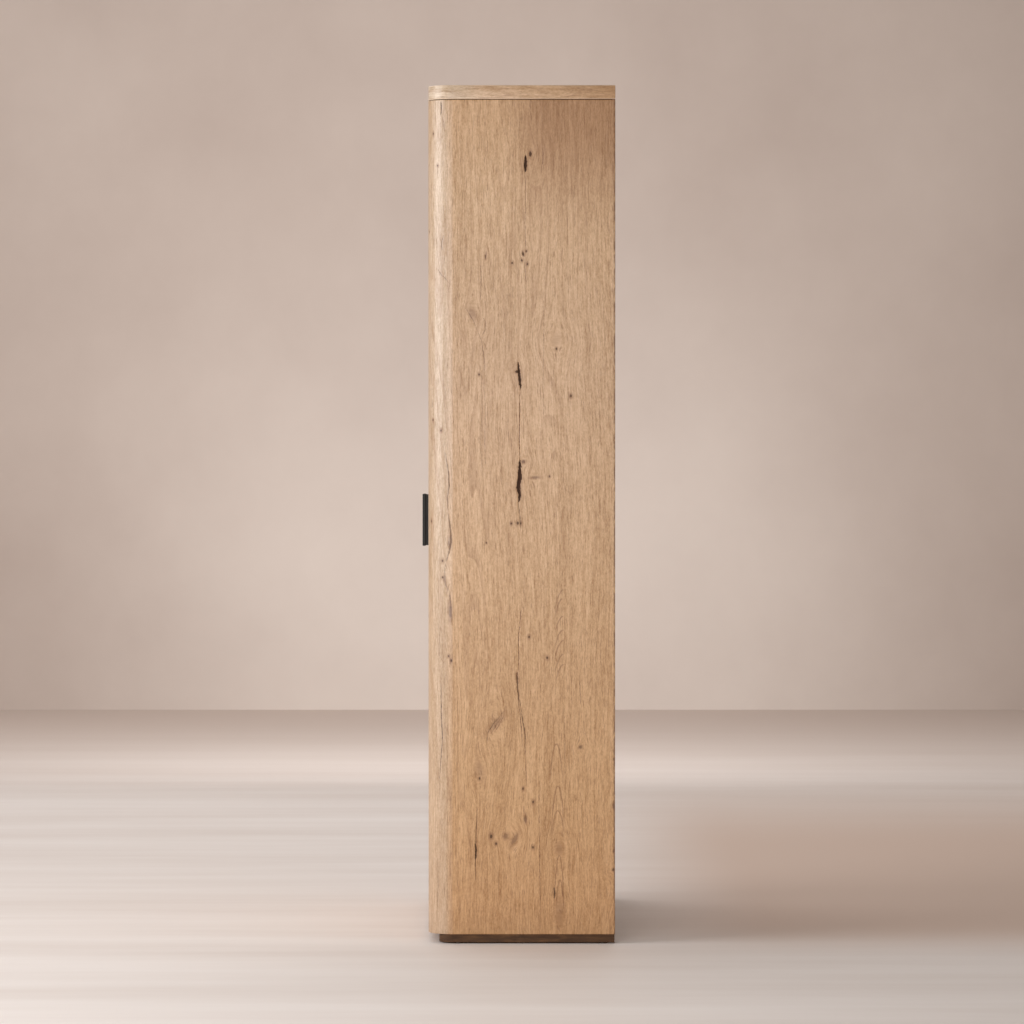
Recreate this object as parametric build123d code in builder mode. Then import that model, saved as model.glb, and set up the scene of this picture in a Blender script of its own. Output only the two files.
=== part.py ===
from build123d import *
import os

# A tall pantry cabinet in knotty oak with rounded front corners, a top slab over a shadow line, a dark
# plinth and two full-height doors that hang on concealed centre pivots. Millimetres: X is the
# width, -Y the front, +Z up. The origin is on the floor, in the middle of the cabinet's width and
# of its depth with the pulls.

os.makedirs("parts", exist_ok=True)

# Overall sizes
overall_height = 2134
body_width = 1067
body_depth = 465
corner_radius = 61  # of the front corners, on the posts and the top slab
arris = 1.5  # rounding of every edge that a hand can reach

# Boards
side_thickness = 22
panel_thickness = 22  # bottom, sub top and fixed shelf
shelf_thickness = 22
door_thickness = 22
face_thickness = 3  # sawn oak faces on the outside of the sides and doors, within their thickness
top_thickness = 34.5
back_thickness = 9
back_recess = 15  # from the rear edges of the sides to the back panels
back_lap = 10  # of the back panels over the rebates in the sides
rail_thickness = 18
rail_height = 80

# Shadow line under the top slab
reveal_height = 1.5
reveal_recess = 8

# Plinth and glides
plinth_height = 20.5
plinth_thickness = 22
plinth_front_recess = 27
plinth_side_recess = 1
glide_thickness = 2.5
glide_diameter = 20

# Doors and pulls
door_gap = 3  # all round each door and between the two
bumper_gap = 3  # from a closed door to the fixed shelf
pull_height = 134
pull_centre_height = 1045
pull_projection = 23.5
pull_grip_width = 20
pull_grip_thickness = 8.5
pull_web_thickness = 8
pull_inset = 40  # from the door's meeting edge to the pull's centre
pull_screw_spacing = 96

# Centre pivots
pivot_pin_diameter = 8
pivot_pin_reach = 16  # into the bush
pivot_plate_thickness = 3
pivot_plate_width = 14
pivot_plate_centres = 40  # from the pin to the centre of the plate's other end
pivot_screw_places = (17, 35)  # from the pin
bush_diameter = 13
bush_length = 18
washer_diameter = 16

# Shelves
fixed_shelf_centre = 1060
shelves_per_bay = 2
shelf_end_gap = 1.5
shelf_post_gap = 3
shelf_back_gap = 2
pin_hole_diameter = 5
pin_hole_depth = 10
pin_hole_pitch = 32
pin_holes_each_way = 2  # holes above and below the one in use
pin_inset = 50  # from a shelf's front and back edges to its pins
pin_nose = 8
pin_collar = 1.5

# Magnetic catches, strikes and bumpers
catch_width = 46
catch_depth = 16
catch_height = 13
catch_centre = 75  # from the middle of the cabinet
strike_width = 34
strike_height = 9
strike_thickness = 1.2
bumper_diameter = 10
bumper_hinge_inset = 80  # from a door's pivot to its outer bumper

# Joints in the wood
dowel_diameter = 8
dowel_in_side = 12
dowel_in_panel = 20
dowels_per_joint = 4
dowel_end_inset = 45
spline_thickness = 6
spline_width = 20
spline_stop = 20  # short of each end of the post

# Fasteners: diameter and length
screw_plinth = (4, 36)
screw_glide = (3, 14)
screw_slab = (4.5, 45)
screw_back = (3.5, 22)
screw_pivot = (3.5, 16)
screw_small = (3, 12)
pull_screw_diameter = 4
pull_screw_in_pull = 10
wall_hole_diameter = 6.5
wall_hole_spacing = 406.4

# Clearances
fit = 0.1  # around fixed inserts, dowels and screws
running = 0.05  # radial, between a pin and the bush that turns on it
apart = 0.3  # between pieces that only touch in use

# Places that follow from the sizes
half_width = body_width / 2
inner_half = half_width - side_thickness
post_half = half_width - corner_radius
front = (pull_projection - body_depth) / 2
back = front + body_depth
post_back = front + corner_radius
panel_back = back - back_recess - back_thickness
body_bottom = glide_thickness + plinth_height
slab_bottom = overall_height - top_thickness
body_top = slab_bottom - reveal_height
floor_top = body_bottom + panel_thickness
ceiling = body_top - panel_thickness
door_back = front + door_thickness
pivot_x = post_half - door_gap - door_thickness / 2
pivot_y = front + door_thickness / 2
door_bottom = floor_top + door_gap
door_top = ceiling - door_gap
fixed_front = door_back + bumper_gap
shelf_front = post_back + shelf_post_gap
shelf_back = panel_back - shelf_back_gap
core_half = half_width - face_thickness
core_centre_x = (inner_half + core_half) / 2
door_core_front = front + face_thickness
plinth_front_y = front + plinth_front_recess
plinth_half = half_width - plinth_side_recess
plinth_radius = corner_radius - plinth_front_recess
plinth_back_y = panel_back - plinth_thickness
pull_x = door_gap / 2 + pull_inset


def save(piece, name):
    """Labels a finished piece and writes it as its own file."""
    piece.label = name
    export_step(piece, f"parts/{name}.step")


def block(x_range, y_range, z_range, mode=Mode.ADD):
    """A rectangular block between two values on each axis."""
    spans = (x_range, y_range, z_range)
    sizes = [abs(high - low) for low, high in spans]
    middle = [(low + high) / 2 for low, high in spans]
    with Locations(tuple(middle)):
        Box(*sizes, mode=mode)


def spread(low, high, count):
    """Evenly spaced places from low to high, both included."""
    step = (high - low) / (count - 1)
    return [low + step * k for k in range(count)]


# ---------------------------------------------------------------- fasteners

def screw(size, grow=0.0):
    """A countersunk screw along -Z with its head's face at the origin, or its hole when grown."""
    diameter, length = size
    shank = diameter / 2 + grow
    head = diameter + grow
    with BuildPart() as piece:
        with BuildSketch(Plane.XZ):
            with BuildLine():
                Polyline(
                    (0, 0),
                    (head, 0),
                    (shank, shank - head),
                    (shank, diameter / 2 - length - grow),
                    (0, -length - grow),
                    close=True,
                )
            make_face()
        revolve(axis=Axis.Z)
        if not grow:
            with BuildSketch(Plane.XY):
                RegularPolygon(diameter * 0.45, 6)
            extrude(amount=-diameter / 3, mode=Mode.SUBTRACT)
    return piece.part


def pan_screw(diameter, length, grow=0.0):
    """A machine screw along -Y with a low domed head, the underside of its head at the origin."""
    with BuildPart() as piece:
        with BuildSketch(Plane.XZ):
            Circle(diameter / 2 + grow)
        extrude(amount=length + grow)
        with BuildSketch(Plane.XZ):
            Circle(diameter + grow)
        extrude(amount=-diameter * 0.6 - grow)
        if not grow:
            fillet(piece.edges().filter_by(GeomType.CIRCLE).sort_by(Axis.Y)[-1], diameter * 0.3)
            with BuildSketch(Plane.XZ.offset(-diameter * 0.6)):
                RegularPolygon(diameter * 0.45, 6)
            extrude(amount=diameter * 0.4, mode=Mode.SUBTRACT)
    return piece.part


def placed(solid, places, mode=Mode.ADD):
    """Adds or cuts one solid at every place in a list, in the part that is being made."""
    with Locations(*places):
        add(solid, mode=mode)


UP = (180, 0, 0)  # turns a screw so that it points up
TO_FRONT = (-90, 0, 0)  # so that it points towards the front

side_board_x = plinth_half - plinth_thickness / 2
plinth_places = [
    Location((x, y, glide_thickness), UP)
    for x in spread(-post_half + 110, post_half - 110, 4)
    for y in (plinth_front_y + plinth_thickness / 2, plinth_back_y + plinth_thickness / 2)
]
plinth_places += [
    Location((side * core_centre_x, y, glide_thickness), UP)
    for side in (-1, 1)
    for y in spread(post_back + 60, back - 80, 3)
]
glide_places = [
    (side * side_board_x, y) for side in (-1, 1) for y in (post_back + 15, back - 30)
]
glide_places += [
    (0, plinth_front_y + plinth_thickness / 2),
    (0, plinth_back_y + plinth_thickness / 2),
]
glide_screw_places = [Location((x, y, 0.3), UP) for x, y in glide_places]
slab_places = [
    Location((x, y, ceiling), UP)
    for x in spread(-inner_half + 60, inner_half - 60, 4)
    for y in (shelf_front + 10, panel_back - rail_thickness - 40)
]
back_edge_heights = (
    body_bottom + panel_thickness / 2,
    fixed_shelf_centre - panel_thickness / 4,
    fixed_shelf_centre + panel_thickness / 4,
    body_top - panel_thickness / 2,
)
back_face = panel_back + back_thickness
back_places = [
    Location((x, back_face, z), TO_FRONT)
    for x in spread(-inner_half + 90, inner_half - 90, 4)
    for z in back_edge_heights
]
rail_places = [
    Location((x, back_face, ceiling - rail_height / 2), TO_FRONT)
    for x in (-inner_half + 60, 0, inner_half - 60)
]
back_places += rail_places

with BuildPart() as plinth_screws:
    placed(screw(screw_plinth), plinth_places)
save(plinth_screws.part, "plinth_screws")

with BuildPart() as glide_screws:
    placed(screw(screw_glide), glide_screw_places)
save(glide_screws.part, "glide_screws")

with BuildPart() as slab_screws:
    placed(screw(screw_slab), slab_places)
save(slab_screws.part, "slab_screws")

with BuildPart() as back_screws:
    placed(screw(screw_back), back_places)
save(back_screws.part, "back_screws")

plinth_hole = screw(screw_plinth, fit)
glide_hole = screw(screw_glide, fit)
slab_hole = screw(screw_slab, fit)
back_hole = screw(screw_back, fit)
pivot_hole = screw(screw_pivot, fit)
small_hole = screw(screw_small, fit)

# Dowels that tie the bottom, the fixed shelf and the sub top to the sides
joint_heights = (
    body_bottom + panel_thickness / 2,
    fixed_shelf_centre,
    body_top - panel_thickness / 2,
)
dowel_rows = spread(post_back + dowel_end_inset, panel_back - dowel_end_inset, dowels_per_joint)


def dowels(side, heights, grow=0.0):
    """Dowels of one side at the given heights, or their holes when grown."""
    low = inner_half - dowel_in_panel - grow
    high = inner_half + dowel_in_side + grow
    middle = side * (low + high) / 2
    with Locations(*[(middle, y, z) for y in dowel_rows for z in heights]):
        Cylinder(
            dowel_diameter / 2 + grow,
            high - low,
            rotation=(0, 90, 0),
            mode=Mode.SUBTRACT if grow else Mode.ADD,
        )


with BuildPart() as carcass_dowels:
    dowels(-1, joint_heights)
    dowels(1, joint_heights)
save(carcass_dowels.part, "carcass_dowels")

# ---------------------------------------------------------------- shelves and their pins

bays = (
    (floor_top, fixed_shelf_centre - panel_thickness / 2),
    (fixed_shelf_centre + panel_thickness / 2, ceiling),
)


def shelf_heights():
    """Undersides of the loose shelves, evenly spaced in the bay below and above the fixed one."""
    heights = []
    for low, high in bays:
        clear = (high - low - shelves_per_bay * shelf_thickness) / (shelves_per_bay + 1)
        for k in range(shelves_per_bay):
            heights.append(low + clear * (k + 1) + shelf_thickness * k)
    return heights


pin_rows = (shelf_front + pin_inset, shelf_back - pin_inset)
pin_drop = pin_hole_diameter / 2 + apart  # from a shelf's underside to its pins' centres


def shelf_pin():
    """A turned pin along -X from the side's inner face: stem in the hole, collar and nose out."""
    radius = pin_hole_diameter / 2
    with BuildPart() as pin:
        with BuildSketch(Plane.XY):
            with BuildLine():
                Polyline(
                    (-pin_nose, 0),
                    (-pin_nose, radius),
                    (-pin_collar, radius),
                    (-pin_collar, radius + 1.5),
                    (0, radius + 1.5),
                    (0, radius - fit),
                    (pin_hole_depth - 1, radius - fit),
                    (pin_hole_depth - 1, 0),
                    close=True,
                )
            make_face()
        revolve(axis=Axis.X)
    return pin.part


pin_solid = shelf_pin()
pin_spots = [
    Location((inner_half, y, z - pin_drop)) for y in pin_rows for z in shelf_heights()
]
pin_spots += [
    Location((-inner_half, y, z - pin_drop), (0, 0, 180)) for y in pin_rows for z in shelf_heights()
]
with BuildPart() as shelf_pins:
    placed(pin_solid, pin_spots)
save(shelf_pins.part, "shelf_pins")

for number, height in enumerate(shelf_heights(), 1):
    shelf_half = inner_half - shelf_end_gap
    with BuildPart() as shelf:
        block(
            (-shelf_half, shelf_half),
            (shelf_front, shelf_back),
            (height, height + shelf_thickness),
        )
        # the collars of the pins need room at the shelf's underside
        with Locations(*[(side * shelf_half, y, height) for side in (-1, 1) for y in pin_rows]):
            Cylinder(radius=pin_hole_diameter, height=4 * pin_collar, mode=Mode.SUBTRACT)
        front_edges = shelf.faces().sort_by(Axis.Y)[0].edges().filter_by(Axis.X)
        fillet(front_edges, arris)
    save(shelf.part, f"shelf_{number}")

# ---------------------------------------------------------------- carcass


def side_face(side):
    """The sawn oak face of a side, from the post's curve to the rear edge."""
    with BuildPart() as face:
        block((side * core_half, side * half_width), (post_back, back), (body_bottom, body_top))
        outer = face.faces().sort_by(Axis.X)[-1 if side > 0 else 0]
        fillet(outer.edges().sort_by(Axis.Y)[1:], arris)
    return face.part


def side_panel(side):
    """A side's core from the post to the rear edge, with its rebate, groove, dowel and pin holes."""
    with BuildPart() as panel:
        block((side * inner_half, side * core_half), (post_back, back), (body_bottom, body_top))
        # rebate for the back panels
        block(
            (side * inner_half, side * (inner_half + back_lap)),
            (panel_back, back),
            (body_bottom, body_top),
            mode=Mode.SUBTRACT,
        )
        spline_groove(side)
        dowels(side, joint_heights, fit)
        placed(plinth_hole, [p for p in plinth_places if p.position.X * side > inner_half],
               Mode.SUBTRACT)
        # columns of holes for the shelf pins
        hole_spots = [
            (side * (inner_half + pin_hole_depth / 2), y, z - pin_drop + pin_hole_pitch * k)
            for y in pin_rows
            for z in shelf_heights()
            for k in range(-pin_holes_each_way, pin_holes_each_way + 1)
        ]
        with Locations(*hole_spots):
            Cylinder(
                pin_hole_diameter / 2, pin_hole_depth, rotation=(0, 90, 0), mode=Mode.SUBTRACT
            )
    return panel.part


def spline_groove(side):
    """The groove in a post and its side for the loose tongue between them."""
    reach = spline_width / 2 + fit
    thick = spline_thickness / 2 + fit
    block(
        (side * core_centre_x - thick, side * core_centre_x + thick),
        (post_back - reach, post_back + reach),
        (body_bottom + spline_stop - fit, body_top - spline_stop + fit),
        mode=Mode.SUBTRACT,
    )


def corner_post(side):
    """A quarter-round post whose curve runs from the door's edge into the side's outer face."""
    with BuildPart() as post:
        with BuildSketch(Plane.XY.offset(body_bottom)):
            with Locations((side * post_half, post_back)):
                Circle(corner_radius)
            with Locations((side * (post_half + corner_radius / 2), post_back - corner_radius / 2)):
                Rectangle(corner_radius, corner_radius, mode=Mode.INTERSECT)
        extrude(amount=body_top - body_bottom)
        fillet(post.edges().filter_by(GeomType.CIRCLE), arris)
        fillet(post.edges().filter_by(Axis.Z).sort_by(Axis.Y)[0], arris)
        spline_groove(side)
    return post.part


with BuildPart() as corner_splines:
    for side in (-1, 1):
        block(
            (
                side * core_centre_x - spline_thickness / 2,
                side * core_centre_x + spline_thickness / 2,
            ),
            (post_back - spline_width / 2, post_back + spline_width / 2),
            (body_bottom + spline_stop, body_top - spline_stop),
        )
save(corner_splines.part, "corner_splines")

for side, hand in ((-1, "left"), (1, "right")):
    save(side_panel(side), f"side_panel_{hand}")
    save(side_face(side), f"side_face_{hand}")
    save(corner_post(side), f"corner_post_{hand}")


def cross_panel(front_edge, low):
    """A panel between the sides that is notched round the posts, from its front edge back."""
    with BuildPart() as panel:
        block((-inner_half, inner_half), (front_edge, panel_back), (low, low + panel_thickness))
        for side in (-1, 1):
            block(
                (side * post_half, side * inner_half),
                (front_edge, post_back),
                (low, low + panel_thickness),
                mode=Mode.SUBTRACT,
            )
            dowels(side, [low + panel_thickness / 2], fit)
        fillet(panel.faces().sort_by(Axis.Y)[0].edges().filter_by(Axis.X), arris)
        placed(
            back_hole,
            [p for p in back_places if low < p.position.Z < low + panel_thickness],
            Mode.SUBTRACT,
        )
    return panel.part


def pivot_outline(side, grow=0.0):
    """The long round-ended shape of a pivot plate, drawn on the plane that is in use."""
    with Locations((side * (pivot_x - pivot_plate_centres / 2), pivot_y)):
        SlotCenterToCenter(pivot_plate_centres, pivot_plate_width + 2 * grow)


pivot_screw_xy = [
    (side * (pivot_x - reach), pivot_y) for side in (-1, 1) for reach in pivot_screw_places
]
catch_y = door_back + strike_thickness + apart
catch_screw_xy = [
    (side * (catch_centre + reach), catch_y + catch_depth / 2)
    for side in (-1, 1)
    for reach in (-catch_width / 2 + 6, catch_width / 2 - 6)
]

with BuildPart() as bottom_panel:
    add(cross_panel(front, body_bottom))
    with BuildSketch(Plane.XY.offset(floor_top)):
        pivot_outline(-1, fit)
        pivot_outline(1, fit)
    extrude(amount=-pivot_plate_thickness, mode=Mode.SUBTRACT)
    placed(pivot_hole, [Location((x, y, floor_top)) for x, y in pivot_screw_xy], Mode.SUBTRACT)
    placed(
        plinth_hole, [p for p in plinth_places if abs(p.position.X) < inner_half], Mode.SUBTRACT
    )
save(bottom_panel.part, "bottom_panel")

with BuildPart() as sub_top:
    add(cross_panel(front, ceiling))
    with BuildSketch(Plane.XY.offset(ceiling)):
        pivot_outline(-1, fit)
        pivot_outline(1, fit)
    extrude(amount=pivot_plate_thickness, mode=Mode.SUBTRACT)
    placed(pivot_hole, [Location((x, y, ceiling), UP) for x, y in pivot_screw_xy], Mode.SUBTRACT)
    placed(
        small_hole,
        [Location((x, y, ceiling - catch_height / 3), UP) for x, y in catch_screw_xy],
        Mode.SUBTRACT,
    )
    placed(slab_hole, slab_places, Mode.SUBTRACT)
save(sub_top.part, "sub_top")

with BuildPart() as fixed_shelf:
    add(cross_panel(fixed_front, fixed_shelf_centre - panel_thickness / 2))
save(fixed_shelf.part, "fixed_shelf")


def plan_outline(recess):
    """The cabinet's plan with its two rounded front corners, set in by a recess all round."""
    with Locations((0, (front + back) / 2)):
        plan = Rectangle(body_width - 2 * recess, body_depth - 2 * recess)
    fillet(plan.vertices().group_by(Axis.Y)[0], corner_radius - recess)


with BuildPart() as reveal_spacer:
    with BuildSketch(Plane.XY.offset(body_top)):
        plan_outline(reveal_recess)
    extrude(amount=reveal_height)
    placed(slab_hole, slab_places, Mode.SUBTRACT)
save(reveal_spacer.part, "reveal_spacer")

with BuildPart() as top_slab:
    with BuildSketch(Plane.XY.offset(slab_bottom)):
        plan_outline(0)
    extrude(amount=top_thickness)
    fillet(top_slab.faces().filter_by(Axis.Z).edges(), arris)
    placed(slab_hole, slab_places, Mode.SUBTRACT)
save(top_slab.part, "top_slab")


def back_panel(low, high):
    """A back panel in the sides' rebates, screwed to the cross panels that it covers."""
    half = inner_half + back_lap - 2 * fit
    with BuildPart() as panel:
        block((-half, half), (panel_back, back_face), (low, high))
        placed(back_hole, [p for p in back_places if low < p.position.Z < high], Mode.SUBTRACT)
    return panel.part


def wall_holes():
    """Holes through the rail and the back for screws into a wall."""
    with Locations(
        *[
            (side * wall_hole_spacing / 2, panel_back, ceiling - rail_height / 2)
            for side in (-1, 1)
        ]
    ):
        Cylinder(
            wall_hole_diameter / 2,
            3 * (rail_thickness + back_thickness),
            rotation=(90, 0, 0),
            mode=Mode.SUBTRACT,
        )


save(back_panel(body_bottom + 1, fixed_shelf_centre - fit), "back_panel_lower")

with BuildPart() as back_panel_upper:
    add(back_panel(fixed_shelf_centre + fit, body_top - 1))
    wall_holes()
save(back_panel_upper.part, "back_panel_upper")

with BuildPart() as back_rail:
    block(
        (-inner_half, inner_half),
        (panel_back - rail_thickness, panel_back),
        (ceiling - rail_height, ceiling),
    )
    rail_front = back_rail.faces().sort_by(Axis.Y)[0]
    fillet(rail_front.edges().filter_by(Axis.X).sort_by(Axis.Z)[0], arris)
    placed(back_hole, rail_places, Mode.SUBTRACT)
    wall_holes()
save(back_rail.part, "back_rail")

# ---------------------------------------------------------------- plinth and glides


def plinth_cuts():
    """The screw holes that pass through a plinth piece."""
    placed(plinth_hole, plinth_places, Mode.SUBTRACT)
    placed(glide_hole, glide_screw_places, Mode.SUBTRACT)


with BuildPart() as plinth_front:
    straight_half = plinth_half - plinth_radius
    block(
        (-straight_half, straight_half),
        (plinth_front_y, plinth_front_y + plinth_thickness),
        (glide_thickness, body_bottom),
    )
    outer_edges = plinth_front.faces().sort_by(Axis.Y)[0].edges().filter_by(Axis.X)
    fillet(outer_edges.sort_by(Axis.Z)[0], arris)
    plinth_cuts()
save(plinth_front.part, "plinth_front")

with BuildPart() as plinth_back:
    back_board_half = plinth_half - plinth_thickness
    block(
        (-back_board_half, back_board_half),
        (plinth_back_y, plinth_back_y + plinth_thickness),
        (glide_thickness, body_bottom),
    )
    plinth_cuts()
save(plinth_back.part, "plinth_back")

for side, hand in ((-1, "left"), (1, "right")):
    with BuildPart() as plinth_corner:
        with BuildSketch(Plane.XY.offset(glide_thickness)):
            centre_x = plinth_half - plinth_radius
            centre_y = plinth_front_y + plinth_radius
            with Locations((side * centre_x, centre_y)):
                Circle(plinth_radius)
            with Locations(
                (side * (centre_x + plinth_radius / 2), centre_y - plinth_radius / 2)
            ):
                Rectangle(plinth_radius, plinth_radius, mode=Mode.INTERSECT)
        extrude(amount=plinth_height)
        fillet(plinth_corner.edges().filter_by(GeomType.CIRCLE).sort_by(Axis.Z)[0], arris)
    save(plinth_corner.part, f"plinth_corner_{hand}")

    with BuildPart() as plinth_side:
        block(
            (side * (plinth_half - plinth_thickness), side * plinth_half),
            (plinth_front_y + plinth_radius, back - plinth_side_recess),
            (glide_thickness, body_bottom),
        )
        outer = plinth_side.faces().sort_by(Axis.X)[-1 if side > 0 else 0]
        fillet(outer.edges().filter_by(Axis.Y).sort_by(Axis.Z)[0], arris)
        plinth_cuts()
    save(plinth_side.part, f"plinth_side_{hand}")

with BuildPart() as glides:
    with BuildSketch():
        with Locations(*glide_places):
            Circle(glide_diameter / 2)
    extrude(amount=glide_thickness)
    fillet(glides.edges().filter_by(GeomType.CIRCLE).group_by(Axis.Z)[0], 0.6)
    placed(glide_hole, glide_screw_places, Mode.SUBTRACT)
save(glides.part, "glides")

# ---------------------------------------------------------------- pivots in the carcass


def pivot_plate(side, level, up):
    """A let-in plate with the pin that a door turns on, from its visible face at a level."""
    direction = 1 if up else -1
    with BuildPart() as plate:
        with BuildSketch(Plane.XY.offset(level)):
            pivot_outline(side)
        extrude(amount=-direction * pivot_plate_thickness)
        with BuildSketch(Plane.XY.offset(level)):
            with Locations((side * pivot_x, pivot_y)):
                Circle(pivot_pin_diameter / 2)
        extrude(amount=direction * (door_gap + pivot_pin_reach))
        tip = plate.edges().filter_by(GeomType.CIRCLE).sort_by(Axis.Z)[-1 if up else 0]
        chamfer(tip, 0.8)
        places = [Location((x, y, level), (0, 0, 0) if up else UP) for x, y in pivot_screw_xy]
        placed(pivot_hole, [p for p in places if p.position.X * side > 0], Mode.SUBTRACT)
    return plate.part


for side, hand in ((-1, "left"), (1, "right")):
    save(pivot_plate(side, floor_top, True), f"bottom_pivot_{hand}")
    save(pivot_plate(side, ceiling, False), f"top_pivot_{hand}")

with BuildPart() as pivot_screws:
    pivot_screw = screw(screw_pivot)
    placed(pivot_screw, [Location((x, y, floor_top)) for x, y in pivot_screw_xy])
    placed(pivot_screw, [Location((x, y, ceiling), UP) for x, y in pivot_screw_xy])
save(pivot_screws.part, "pivot_screws")

with BuildPart() as thrust_washers:
    with BuildSketch(Plane.XY.offset(floor_top)):
        with Locations((-pivot_x, pivot_y), (pivot_x, pivot_y)):
            Circle(washer_diameter / 2)
            Circle(pivot_pin_diameter / 2 + running, mode=Mode.SUBTRACT)
    extrude(amount=door_gap - apart)
save(thrust_washers.part, "thrust_washers")

# ---------------------------------------------------------------- catches and bumpers

for side, hand in ((-1, "left"), (1, "right")):
    with BuildPart() as magnetic_catch:
        centre = side * catch_centre
        block(
            (centre - catch_width / 2, centre + catch_width / 2),
            (catch_y, catch_y + catch_depth),
            (ceiling - catch_height, ceiling),
        )
        # the two ears are thin, and the middle holds the magnet
        for ear in (-1, 1):
            block(
                (centre + ear * (catch_width / 2 - 12), centre + ear * catch_width / 2),
                (catch_y, catch_y + catch_depth),
                (ceiling - catch_height, ceiling - catch_height / 3),
                mode=Mode.SUBTRACT,
            )
        places = [Location((x, y, ceiling - catch_height / 3), UP) for x, y in catch_screw_xy]
        placed(small_hole, [p for p in places if p.position.X * side > 0], Mode.SUBTRACT)
    save(magnetic_catch.part, f"magnetic_catch_{hand}")

with BuildPart() as catch_screws:
    placed(
        screw(screw_small),
        [Location((x, y, ceiling - catch_height / 3), UP) for x, y in catch_screw_xy],
    )
save(catch_screws.part, "catch_screws")

with BuildPart() as door_bumpers:
    with BuildSketch(Plane.XZ.offset(-fixed_front)):
        bumper_places = (catch_centre, pivot_x - bumper_hinge_inset)
        with Locations(*[(side * x, fixed_shelf_centre) for side in (-1, 1) for x in bumper_places]):
            Circle(bumper_diameter / 2)
    extrude(amount=bumper_gap - apart)
    fillet(door_bumpers.edges().filter_by(GeomType.CIRCLE).group_by(Axis.Y)[0], 0.8)
save(door_bumpers.part, "door_bumpers")

# ---------------------------------------------------------------- doors

pull_screw_heights = (
    pull_centre_height - pull_screw_spacing / 2,
    pull_centre_height + pull_screw_spacing / 2,
)
pull_screw_length = door_thickness + pull_screw_in_pull
pull_hole = pan_screw(pull_screw_diameter, pull_screw_length, fit)
strike_z = door_top - strike_height / 2 - 1


def door_fittings(side):
    """Where the screws of one door's bushes, strike and pull go."""
    bush = [
        Location((side * (pivot_x - reach), pivot_y, level), turn)
        for reach in pivot_screw_places
        for level, turn in ((door_bottom, UP), (door_top, (0, 0, 0)))
    ]
    strike = [
        Location((side * (catch_centre + reach), door_back + strike_thickness, strike_z), TO_FRONT)
        for reach in (-strike_width / 2 + 6, strike_width / 2 - 6)
    ]
    pull = [Location((side * pull_x, door_back, z)) for z in pull_screw_heights]
    return bush, strike, pull


def door_panel(side):
    """A slab door's core, whose hinge edge is a half round about the pivot's axis."""
    bush, strike, pull = door_fittings(side)
    meeting_x = side * door_gap / 2
    axis_x = side * pivot_x
    with BuildPart() as panel:
        with BuildSketch(Plane.XY.offset(door_bottom)):
            with Locations(((meeting_x + axis_x) / 2, (door_core_front + door_back) / 2)):
                Rectangle(abs(axis_x - meeting_x), door_thickness - face_thickness)
            with Locations((axis_x, pivot_y)):
                Circle(door_thickness / 2)
            # the face takes the place of the round's front half on the meeting side
            with Locations(((meeting_x + axis_x) / 2, (front + door_core_front) / 2)):
                Rectangle(abs(axis_x - meeting_x), face_thickness, mode=Mode.SUBTRACT)
        extrude(amount=door_top - door_bottom)
        inner_face = panel.faces().filter_by(Axis.Y).sort_by(Axis.Y)[-1]
        inner_edges = inner_face.edges()
        fillet(inner_edges.sort_by(Axis.X)[:-1] if side > 0 else inner_edges.sort_by(Axis.X)[1:],
               arris)
        # seats for the plates and bosses of the bushes
        for level, inward in ((door_bottom, 1), (door_top, -1)):
            with BuildSketch(Plane.XY.offset(level)):
                pivot_outline(side, fit)
            extrude(amount=inward * pivot_plate_thickness, mode=Mode.SUBTRACT)
            with BuildSketch(Plane.XY.offset(level)):
                with Locations((axis_x, pivot_y)):
                    Circle(bush_diameter / 2 + fit)
            extrude(amount=inward * (bush_length + fit), mode=Mode.SUBTRACT)
        placed(pivot_hole, bush, Mode.SUBTRACT)
        placed(small_hole, strike, Mode.SUBTRACT)
        placed(pull_hole, pull, Mode.SUBTRACT)
    return panel.part


def door_face(side):
    """The sawn oak face of a door, from its meeting edge to where the hinge edge turns round."""
    with BuildPart() as face:
        block(
            (side * door_gap / 2, side * pivot_x),
            (front, door_core_front),
            (door_bottom, door_top),
        )
        outer = face.faces().sort_by(Axis.Y)[0].edges()
        fillet(outer.sort_by(Axis.X)[:-1] if side > 0 else outer.sort_by(Axis.X)[1:], arris)
        placed(pull_hole, door_fittings(side)[2], Mode.SUBTRACT)
    return face.part


def pivot_bush(side, level, inward):
    """The let-in plate and boss in a door's end that turn on a pivot's pin."""
    with BuildPart() as bush:
        with BuildSketch(Plane.XY.offset(level)):
            pivot_outline(side)
        extrude(amount=inward * pivot_plate_thickness)
        with BuildSketch(Plane.XY.offset(level)):
            with Locations((side * pivot_x, pivot_y)):
                Circle(bush_diameter / 2)
        extrude(amount=inward * bush_length)
        with BuildSketch(Plane.XY.offset(level)):
            with Locations((side * pivot_x, pivot_y)):
                Circle(pivot_pin_diameter / 2 + running)
        extrude(amount=inward * bush_length, mode=Mode.SUBTRACT)
        placed(pivot_hole, door_fittings(side)[0], Mode.SUBTRACT)
    return bush.part


def door_pull(side):
    """A T-section pull: a flat grip on a web that runs its whole height."""
    low = pull_centre_height - pull_height / 2
    high = pull_centre_height + pull_height / 2
    grip_back = front - pull_projection + pull_grip_thickness
    centre = side * pull_x
    with BuildPart() as pull:
        block(
            (centre - pull_grip_width / 2, centre + pull_grip_width / 2),
            (grip_back - pull_grip_thickness, grip_back),
            (low, high),
        )
        fillet(pull.edges(), arris)
        block(
            (centre - pull_web_thickness / 2, centre + pull_web_thickness / 2),
            (grip_back - pull_grip_thickness / 2, front),
            (low + arris, high - arris),
        )
        with Locations(*[(centre, front, z) for z in pull_screw_heights]):
            Cylinder(
                pull_screw_diameter / 2 + fit,
                2 * (pull_screw_in_pull + fit),
                rotation=(90, 0, 0),
                mode=Mode.SUBTRACT,
            )
    return pull.part


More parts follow.
